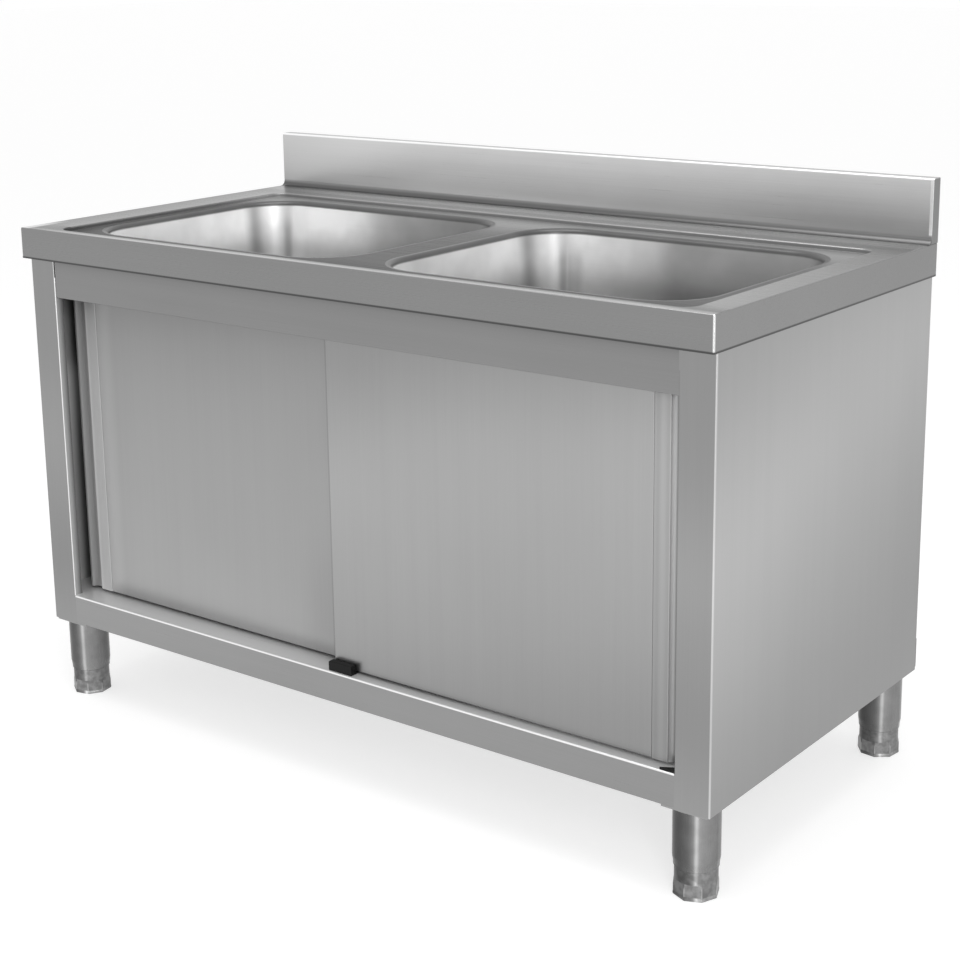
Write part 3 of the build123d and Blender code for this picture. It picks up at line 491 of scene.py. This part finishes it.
def corner_reflections(tree, corner):
    """Painted reflections round the corner: 0 is its left end, 1 its rear end."""
    return ratios(tree, corner, [
        (0.0, 1.0), (0.1, 0.76), (0.2, 0.44), (0.33, 1.1), (0.45, 1.05), (0.56, 1.0), (0.67, 0.72),
        (0.78, 1.25), (0.9, 1.25), (1.0, 1.1)])


def bowl_grey(tree, x, y, z):
    """Painted light on the left wall, painted shade to the right, downwards and on the rim, corner
    reflections.
    """
    place = from_bowl_middle(tree, x)
    # painted light on the left wall and painted shade to the right; the front and right walls are painted
    # pale
    wall = curve(tree, place, greys(
        (-0.3, 255), (-0.12, 253), (-0.06, 233), (-0.02, 184), (0.05, 172), (0.12, 160), (0.3, 142)))
    front_and_right = sums(tree, "MAXIMUM", step(tree, y, -0.20, -0.26), step(tree, place, 0.268, 0.29))
    wall = pick(tree, front_and_right, level(252), wall)
    # painted light and shade of the right bowl, which differ from the left one's
    right_bowl = ratios(tree, place, [
        (-0.3, 0.95), (-0.2, 0.9), (-0.14, 0.76), (-0.05, 0.72), (0.0, 0.85), (0.06, 1.1), (0.12, 1.3),
        (0.26, 1.15)])
    wall = both(tree, wall, pick(tree, over_zero(tree, x), right_bowl, 1.0))
    turn = sums(tree, "ARCTAN2", sums(tree, "SUBTRACT", y, corner_y), sums(tree, "SUBTRACT", corner_x, place))
    corner = sums(tree, "DIVIDE", turn, math.pi / 2)
    # painted shade, darkest a little below the middle of the walls
    depth = curve(tree, z, [
        (0.56, 0.9), (0.66, 0.8), (0.74, 0.52), (0.77, 0.5), (0.795, 0.8), (0.82, 0.94), (0.86, 1.0)])
    low_wall = step(tree, z, 0.845, 0.80)
    # painted dark reflections beside the rear corners, low on the walls
    dark_reflection_band = both(tree, step(tree, corner, 0.58, 0.66), step(tree, corner, 0.76, 0.68), low_wall)
    right_back = both(tree, step(tree, corner, 0.68, 0.76), step(tree, corner, 1.0, 0.85),
                      over_zero(tree, x), low_wall)
    shade = flip(tree, both(tree, sums(tree, "MAXIMUM", dark_reflection_band, right_back), 0.3))
    walls = both(tree, wall, corner_reflections(tree, corner), depth, shade)
    # painted shade on the rolled rim
    return pick(tree, bowl_rim(tree, z), level(88), walls)


def bowl_metal(tree, x, y, z):
    """The satin walls are a little less mirror-like on the left, where they were ground by hand."""
    walls = step(tree, from_bowl_middle(tree, x), -0.15, 0.1, 0.62, 0.95)
    return pick(tree, bowl_rim(tree, z), 0.4, walls)


bowl_steel = brushed("bowl_steel", bowl_grey, "x", roughness=0.33, streaks=0.015, clouds=0.07,
                     cloud_scale=14, metal=bowl_metal)
print("finish", bowl_steel.name)

# %% [markdown]
# ## Doors
# The doors are ground upright. Each shows a broad slanted band of light, which is painted into its greys
# along a slanted line instead of a level one. The pulls are full-height rolls at the outer ends: their
# highlights and shade change within a few millimetres across, so they are painted as a fine curve of
# factors on top of the door's own grey.

# %% Doors
def band(tree, sideways, z, slope, tilt, stops):
    """Painted band of light: stops lie along z less slope times sideways, tilt fades it sideways."""
    along = sums(tree, "SUBTRACT", z, both(tree, sideways, slope))
    tone = curve(tree, along, greys(*stops))
    return both(tree, tone, sums(tree, "ADD", 1.0, both(tree, sideways, tilt)))


def right_door_grey(tree, x, y, z):
    """Upright grain with a painted band of light just below the middle."""
    stops = [(0.12, 138), (0.26, 154), (0.42, 164), (0.56, 170), (0.67, 152), (0.75, 147)]
    return band(tree, x, z, 0.20, 0.02, stops)


def left_door_grey(tree, x, y, z):
    """Upright grain with a faint painted band of light, nearly even, darker at the top."""
    stops = [(0.2, 176), (0.25, 156), (0.48, 158), (0.63, 153), (0.72, 146), (0.79, 131)]
    return band(tree, x, z, 0.08, -0.11, stops)


def left_skin_grey(tree, x, y, z):
    """The door's grey, with the front door's edge as a painted shadow line, and painted lighter to the pull.
    """
    # painted shadow of the front door's edge: a dark line on the door behind it
    seam_and_shadow = both(tree, step(tree, x, -0.0480, -0.0445), step(tree, x, -0.0380, -0.0415))
    # painted shade low down beside the front door's edge
    foot = both(tree, step(tree, x, -0.14, -0.05), step(tree, z, 0.45, 0.25))
    lines = both(tree, flip(tree, both(tree, seam_and_shadow, 0.16)), flip(tree, both(tree, foot, 0.14)))
    # the last factor paints the door lighter towards its pull
    return both(tree, left_door_grey(tree, x, y, z), lines, step(tree, x, -0.590, -0.540, 1.4, 1.0))


def left_door_metal(tree, x, y, z):
    """As the pull at its outer end, then fully metallic."""
    return step(tree, x, -0.590, -0.550, 0.5, 1.0)


right_door_steel = brushed("right_door_steel", right_door_grey, "z", roughness=0.32)
left_door_steel = brushed("left_door_steel", left_skin_grey, "z", roughness=0.32, metal=left_door_metal)
print("finish", right_door_steel.name, left_door_steel.name)

# %% Pulls
def right_pull_grey(tree, x, y, z):
    """The door's grey, with painted light and shade on the pull's roll: joint line, bright crest, groove."""
    # painted highlights and shade across the roll
    pull_light_and_shade = ratios(tree, x, [
        (0.586, 0.84), (0.5905, 1.18), (0.595, 0.9), (0.603, 1.32), (0.613, 0.9), (0.6150, 1.4),
        (0.6170, 2.6), (0.6195, 2.2), (0.6220, 0.7), (0.6255, 0.5), (0.629, 0.72), (0.640, 0.72)])
    return both(tree, right_door_grey(tree, x, y, z), pull_light_and_shade)


def left_pull_grey(tree, x, y, z):
    """The door's grey, with fine painted highlights and shade in the groove."""
    # painted highlights and shade in the groove
    pull_light_and_shade = ratios(tree, x, [
        (-0.644, 1.2), (-0.636, 0.62), (-0.6325, 0.85), (-0.630, 1.0), (-0.6265, 1.15), (-0.6235, 2.8),
        (-0.6205, 2.3), (-0.6175, 2.2), (-0.614, 2.9), (-0.610, 2.0), (-0.600, 1.95), (-0.590, 1.85),
        (-0.586, 1.5)])
    return both(tree, left_door_grey(tree, x, y, z), pull_light_and_shade)


def left_pull_metal(tree, x, y, z):
    """Nearly plain grey at the outer end, which the belt doesn't reach, and mirror-like towards the door."""
    return step(tree, x, -0.604, -0.585, 0.12, 0.5)


right_pull_steel = brushed("right_pull_steel", right_pull_grey, "z", roughness=0.3, metal=0.45)
left_pull_steel = brushed("left_pull_steel", left_pull_grey, "z", roughness=0.3, metal=left_pull_metal)
print("finish", right_pull_steel.name, left_pull_steel.name)

# %% [markdown]
# ## Cupboard
# The side panels, with the jambs folded from them, are ground upright. The fascia and the bottom rail run
# across and are ground lengthwise. Where a bend faces a lamp it shows as a thin bright line, which is
# painted as a highlight. The narrow returns inside the jambs, which no belt reaches, are less mirror-like,
# and painted shade darkens them and the inner faces of the sides.

# %% Side panels
def return_mask(tree, x, y, z):
    """The narrow return that is folded in from the jamb's inner edge."""
    ends = sums(tree, "ABSOLUTE", x)
    return both(tree, step(tree, ends, 0.6500, 0.6450), step(tree, y, -0.3335, -0.3325))


def inner_face(tree, x, y, z):
    """The side sheet's inner face, behind the jamb."""
    return both(tree, step(tree, sums(tree, "ABSOLUTE", x), 0.6955, 0.6951), step(tree, y, -0.316, -0.310),
                step(tree, y, 0.338, 0.332))


def side_grey(tree, x, y, z):
    """Side sheet with a painted band of light, the jamb folded from it, painted shade inside, bend
    highlights.
    """
    stops = [(0.06, 145), (0.2, 140), (0.4, 157), (0.6, 178), (0.75, 170), (0.9, 154)]
    sheen = band(tree, y, z, 0.28, -0.15, stops)
    # painted reflections down the jamb
    jamb = curve(tree, z, greys(
        (0.14, 150), (0.27, 134), (0.42, 150), (0.52, 156), (0.65, 145), (0.82, 146)))
    # painted shade inside, on the side sheet's inner face behind the jamb
    inside = curve(tree, y, greys(
        (-0.29, 240), (-0.270, 235), (-0.258, 150), (-0.247, 60), (-0.225, 90), (-0.19, 140)))
    sheen = pick(tree, inner_face(tree, x, y, z), inside, sheen)
    face = pick(tree, step(tree, y, -0.3330, -0.3340), jamb, sheen)
    # painted shade deepening into the return
    inner = curve(tree, y, greys((-0.334, 205), (-0.328, 195), (-0.321, 120), (-0.314, 60)))
    face = pick(tree, return_mask(tree, x, y, z), inner, face)
    # painted highlight down the left jamb's inner bend
    left_edge_highlight = both(tree, step(tree, x, -0.6385, -0.6380), step(tree, x, -0.60, -0.61),
                     step(tree, y, -0.3325, -0.3330), step(tree, z, 0.195, 0.197))
    ends = sums(tree, "ABSOLUTE", x)
    # painted highlight on the bend at the side sheet's front
    fold_highlight = both(tree, step(tree, y, -0.3315, -0.3325), step(tree, ends, 0.6935, 0.6945))
    return pick(tree, fold_highlight, both(tree, jamb, 1.9), pick(tree, left_edge_highlight, level(235), face))


def side_metal(tree, x, y, z):
    """Less mirror-like in the fold of the jamb and inside, which are out of the belt's reach."""
    dull = sums(tree, "MAXIMUM", return_mask(tree, x, y, z), inner_face(tree, x, y, z))
    return flip(tree, both(tree, dull, 0.7))


side_steel = brushed("side_steel", side_grey, "z", roughness=0.32, metal=side_metal)
print("finish", side_steel.name)

# %% Fascia, rail and hidden sheets
def fascia_grey(tree, x, y, z):
    """Even grey, darker in the shade of the worktop's hem."""
    return curve(tree, z, greys((0.748, 140), (0.79, 139), (0.806, 136), (0.815, 120), (0.82, 100)))


def rail_grey(tree, x, y, z):
    """Cupboard floor's front rail: painted highlight on its bend, pale ledge before the doors, painted shade
    inside.
    """
    front = step(tree, y, -0.3320, -0.3330)
    # painted highlight on the rail's top bend
    edge = both(tree, front, step(tree, z, 0.1925, 0.1940))
    rail = curve(tree, x, greys((-half_length, 150), (0.0, 146), (half_length, 141)))
    # pale ledge, with painted shade further inside
    ledge = curve(tree, y, greys((-0.334, 222), (-0.29, 215), (-0.20, 180)))
    return pick(tree, edge, level(240), pick(tree, front, rail, ledge))


def rail_metal(tree, x, y, z):
    """The ledge and the floor inside are duller than the front rail."""
    return step(tree, y, -0.3320, -0.3335, 0.35, 1.0)


fascia_steel = brushed("fascia_steel", fascia_grey, "x", roughness=0.3)
floor_steel = brushed("floor_steel", rail_grey, "x", roughness=0.3, metal=rail_metal)
hidden_steel = brushed("hidden_steel", level(150), "x", roughness=0.35, streaks=0.03, clouds=0.03)
fixing_steel = brushed("fixing_steel", level(150), "z", roughness=0.3)
print("finish", fascia_steel.name, floor_steel.name, hidden_steel.name, fixing_steel.name)

# %% [markdown]
# ## Legs and feet
# The legs are drawn tubes, and each foot has eight flats for a spanner. The light on a round tube changes
# smoothly with the angle round its axis, so its highlights and shade are painted as a curve of greys over
# that angle, in long streaks. A flat reflects one tone over its whole width, so its painted grey is read
# from a curve at the middle of the flat, and its corners get a painted highlight.

# %% Legs
leg_side, leg_front, leg_rear = 0.6525, -0.2948, 0.3055  # axes of the tubes
painted_tones_start = 53 / 360  # the tones start this part of a turn to the left of the leg's front


def round_the_leg(tree, x, y):
    """Place round the leg's own axis, 0 to 1 for the whole turn."""
    middle_x = mirrored(tree, x, leg_side)
    middle_y = sums(tree, "ADD", mirrored(tree, y, (leg_rear - leg_front) / 2), (leg_rear + leg_front) / 2)
    turn = sums(tree, "ARCTAN2", sums(tree, "SUBTRACT", x, middle_x), sums(tree, "SUBTRACT", middle_y, y))
    part = sums(tree, "DIVIDE", turn, 2 * math.pi)
    return sums(tree, "FRACT", sums(tree, "ADD", part, 1 + painted_tones_start))


def leg_grey(tree, x, y, z):
    """Painted highlights and shade in long streaks round the drawn tube."""
    return curve(tree, round_the_leg(tree, x, y), greys(
        (0.0, 66), (0.1, 76), (0.17, 98), (0.212, 118), (0.231, 210), (0.250, 130), (0.35, 131),
        (0.425, 108), (0.5, 90), (0.6, 120), (0.7, 150), (0.76, 200), (0.82, 150), (0.92, 110), (1.0, 66)))


leg_steel = brushed("leg_steel", leg_grey, "z", roughness=0.25, clouds=0.07, cloud_scale=45)
print("finish", leg_steel.name)

# %% Feet
flats = 8


def foot_turned(tree, x, y):
    """How far each foot is screwed round, in degrees: each stands at its own turn."""
    front = pick(tree, over_zero(tree, x), 0.0, -10.0)
    rear = pick(tree, over_zero(tree, x), 15.0, 20.0)
    return pick(tree, over_zero(tree, y), rear, front)


def flat_grey(tree, x, y, z):
    """One painted tone for each of the eight flats, with a painted highlight at the corners between them."""
    foot_turn = sums(tree, "ADD", foot_turned(tree, x, y), 360 * painted_tones_start)
    first_corner = sums(tree, "DIVIDE", foot_turn, 360 / flats)
    eighths = sums(tree, "SUBTRACT", both(tree, round_the_leg(tree, x, y), flats), first_corner)
    middle = sums(tree, "ADD", sums(tree, "ADD", sums(tree, "FLOOR", eighths), 0.5), first_corner)
    middle = sums(tree, "FRACT", sums(tree, "ADD", sums(tree, "DIVIDE", middle, flats), 1.0))
    # painted reflection tone at the middle of each flat
    tone = curve(tree, middle, greys(
        (0.0, 84), (0.085, 92), (0.2, 146), (0.335, 128), (0.46, 112), (0.6, 118), (0.72, 150), (0.84, 140),
        (1.0, 84)))
    in_flat = sums(tree, "FRACT", sums(tree, "ADD", eighths, 10.0))  # the 10 keeps it positive
    off_middle = sums(tree, "ABSOLUTE", sums(tree, "SUBTRACT", in_flat, 0.5))
    # painted highlight at the corners between the flats
    flat_corner_highlight = both(tree, step(tree, off_middle, 0.455, 0.490), step(tree, z, 0.023, 0.018))
    return pick(tree, flat_corner_highlight, both(tree, tone, 1.7), tone)


def foot_grey(tree, x, y, z):
    """As the tube, with a tone for each flat, a pale rim below and a dark joint line above."""
    rim = step(tree, z, 0.0075, 0.0060)
    seam_and_shadow = both(tree, step(tree, z, 0.0455, 0.0465), step(tree, z, 0.0485, 0.0475))
    round_tone = leg_grey(tree, x, y, z)
    tone = pick(tree, step(tree, z, 0.0268, 0.0252), flat_grey(tree, x, y, z), round_tone)
    return pick(tree, seam_and_shadow, level(70), pick(tree, rim, both(tree, round_tone, 1.45), tone))


foot_steel = brushed("foot_steel", foot_grey, "z", roughness=0.3, clouds=0.2, cloud_scale=110)
print("finish", foot_steel.name)

# %% [markdown]
# ## Plastic, rubber and board
# The guides are black nylon with a soft moulded sheen, the buffers are matt rubber, the rollers are acetal
# and the board inside the doors shows pressed fibres on its edges. All of them are one colour with a fine
# mottle, so one recipe with other numbers makes them all.

# %% Plastic, rubber and board
def moulded(name, colour, roughness, mottle, grain_scale, relief_depth, shine=0.5):
    """Plastic, rubber or board: one colour with a fine mottle in tone, gloss and surface."""
    material, tree, shader, coords = new_finish(name, shine)
    grain = noise(tree, coords, grain_scale, 4.0)
    ramp = add(tree, "ValToRGB")
    for element, factor in zip(ramp.color_ramp.elements, (1 - mottle, 1 + mottle)):
        element.color = tuple(min(1.0, c * factor) for c in colour) + (1,)
    tree.links.new(grain, ramp.inputs["Fac"])
    tree.links.new(ramp.outputs["Color"], shader.inputs["Base Color"])
    gloss = step(tree, grain, 0.3, 0.7, roughness - 0.06, roughness + 0.06)
    tree.links.new(gloss, shader.inputs["Roughness"])
    relief(tree, shader, grain, 0.3, relief_depth)
    return material


black_nylon = moulded("black_nylon", (0.008, 0.008, 0.008), 0.45, 0.3, 900, 0.0002, shine=0.15)
black_rubber = moulded("black_rubber", (0.012, 0.012, 0.012), 0.7, 0.3, 600, 0.0003, shine=0.2)
acetal = moulded("acetal", (0.78, 0.77, 0.73), 0.35, 0.04, 500, 0.0001)
white_plastic = moulded("white_plastic", (0.76, 0.76, 0.74), 0.4, 0.05, 400, 0.0002)
fibreboard = moulded("fibreboard", (0.45, 0.33, 0.21), 0.85, 0.35, 1400, 0.0005)
print("finish", black_nylon.name, black_rubber.name, acetal.name, white_plastic.name, fibreboard.name)

# %% [markdown]
# ## Give each CAD piece its material
# Most pieces share the finish of their material slot. The large sheets that the eye compares with each
# other get their own, by name.

# %% Give each CAD piece its material
finish_of_slot = {
    "worktop_steel": worktop_steel,
    "bowl_steel": bowl_steel,
    "cupboard_steel": fascia_steel,
    "door_steel": right_door_steel,
    "hidden_steel": hidden_steel,
    "core_board": fibreboard,
    "fixings": fixing_steel,
    "leg_steel": leg_steel,
    "foot_steel": foot_steel,
    "roller_plastic": acetal,
    "black_plastic": black_nylon,
    "black_rubber": black_rubber,
    "waste_plastic": white_plastic,
    "strainer_steel": fixing_steel,
}
finish_of_node = {
    "splashback": splash_steel,
    "splash_end_plates": end_plate_steel,
    "left_side_panel": side_steel,
    "right_side_panel": side_steel,
    "cupboard_floor": floor_steel,
    "left_door_skin": left_door_steel,
    "left_door_pull": left_pull_steel,
    "right_door_pull": right_pull_steel,
}
slot_of = {part["node"]: part["material_slot"] for part in frame["record"]["subparts"]}
for node_name, node in frame["nodes"].items():
    finish = finish_of_node.get(node_name) or finish_of_slot[slot_of[node_name]]
    node.data.materials.clear()
    node.data.materials.append(finish)
print("finished nodes", len(frame["nodes"]))

# %% [markdown]
# ## Weld beads and pipe threads
# Each leg tube is welded to its plate, and a hand-laid fillet weld has small overlapping ripples. The tail
# of each waste has a pipe thread, on which the drain's nut is screwed. CAD leaves both out, because they
# don't change how the parts fit. A bead is a quarter-round section carried round the tube, with a size that
# swells and shrinks, and a thread is a ridge carried round and up. One helper makes both: it joins
# sections of points to each other, which keeps the mesh closed and its faces even.

# %% Rings of sections
def round_point(middle, radius, turn, z):
    """Point at a radius and turn round an upright axis, at a height."""
    return (middle[0] + radius * math.cos(turn), middle[1] + radius * math.sin(turn), z)


def skin(name, sections, closed):
    """Mesh that joins equal sections of points one after the other, as a ring or with two flat ends."""
    mesh = bmesh.new()
    rows = [[mesh.verts.new(point) for point in section] for section in sections]
    count = len(rows[0])
    following_rows = rows[1:] + rows[:1] if closed else rows[1:]
    for row, following in zip(rows, following_rows):
        for k in range(count):
            mesh.faces.new((row[k], row[(k + 1) % count], following[(k + 1) % count], following[k]))
    if not closed:
        mesh.faces.new(rows[0])
        mesh.faces.new(rows[-1][::-1])
    bmesh.ops.recalc_face_normals(mesh, faces=mesh.faces)
    data = bpy.data.meshes.new(name)
    mesh.to_mesh(data)
    mesh.free()
    data.polygons.foreach_set("use_smooth", [True] * len(data.polygons))
    piece = bpy.data.objects.new(name, data)
    scene.collection.objects.link(piece)
    return piece


# %% Weld beads
leg_radius = 0.0356
plate_low = 0.140
bead_size = 0.0019
ripples, points_per_ripple = 40, 5
ripple_swell, slow_swell = 0.16, 0.08
into_tube, into_plate = 0.0003, 0.0002  # how far the bead reaches into its neighbours
bead_angles = (0.25, 0.65, 1.05, 1.4)
weld_steel = brushed("weld_steel", level(120), "z", roughness=0.35, streaks=0.12, clouds=0.08, bump=0.2)


def weld_bead(name, middle):
    """Fillet weld round a leg tube, under its plate."""
    sections = []
    for k in range(ripples * points_per_ripple):
        turn = 2 * math.pi * k / (ripples * points_per_ripple)
        swell = ripple_swell * math.sin(ripples * turn) + slow_swell * math.sin(3 * turn + middle[0])
        size = bead_size * (1 + swell)
        profile = [(-into_tube, into_plate), (size, into_plate)]
        profile += [(size * math.cos(a), -size * math.sin(a)) for a in bead_angles]
        profile += [(-into_tube, -size)]
        sections.append([
            round_point(middle, leg_radius + out, turn, plate_low + rise) for out, rise in profile])
    piece = skin(name, sections, closed=True)
    piece.data.materials.append(weld_steel)
    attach(piece, "cabinet")


for side_name, bead_x in (("left", -leg_side), ("right", leg_side)):
    for end_name, bead_y in (("front", leg_front), ("rear", leg_rear)):
        weld_bead(f"weld_bead_{end_name}_{side_name}", (bead_x, bead_y))
print("weld beads", 4, "of", ripples, "ripples")

# %% Threads of the waste tails
tail_radius = 0.0239
pitch = 0.00231
turns = 9
steps_per_turn = 36
run_out = 12  # steps over which the ridge rises at each end
ridge_height, crest_half, root_half, into_tail = 0.0005, 0.0002, 0.0009, 0.0002
first_turn_above_end = 0.0022


def pipe_thread(name, node):
    """Ridge wound round a waste's tail, from near its end up."""
    low_corner, high_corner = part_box(node)
    middle = ((low_corner[0] + high_corner[0]) / 2, (low_corner[1] + high_corner[1]) / 2)
    start = low_corner[2] + first_turn_above_end
    sections = []
    last = turns * steps_per_turn
    for k in range(last + 1):
        height = ridge_height * min(1.0, k / run_out, (last - k) / run_out)
        profile = [(-into_tail, -root_half), (height, -crest_half),
                   (height, crest_half), (-into_tail, root_half)]
        turn = 2 * math.pi * k / steps_per_turn
        z = start + pitch * k / steps_per_turn
        sections.append([round_point(middle, tail_radius + out, turn, z + rise) for out, rise in profile])
    piece = skin(name, sections, closed=False)
    piece.data.materials.append(white_plastic)
    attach(piece, "cabinet")
    print(name, "turns", turns, "from z", round(start, 4))


pipe_thread("left_waste_thread", "left_waste_body")
pipe_thread("right_waste_thread", "right_waste_body")
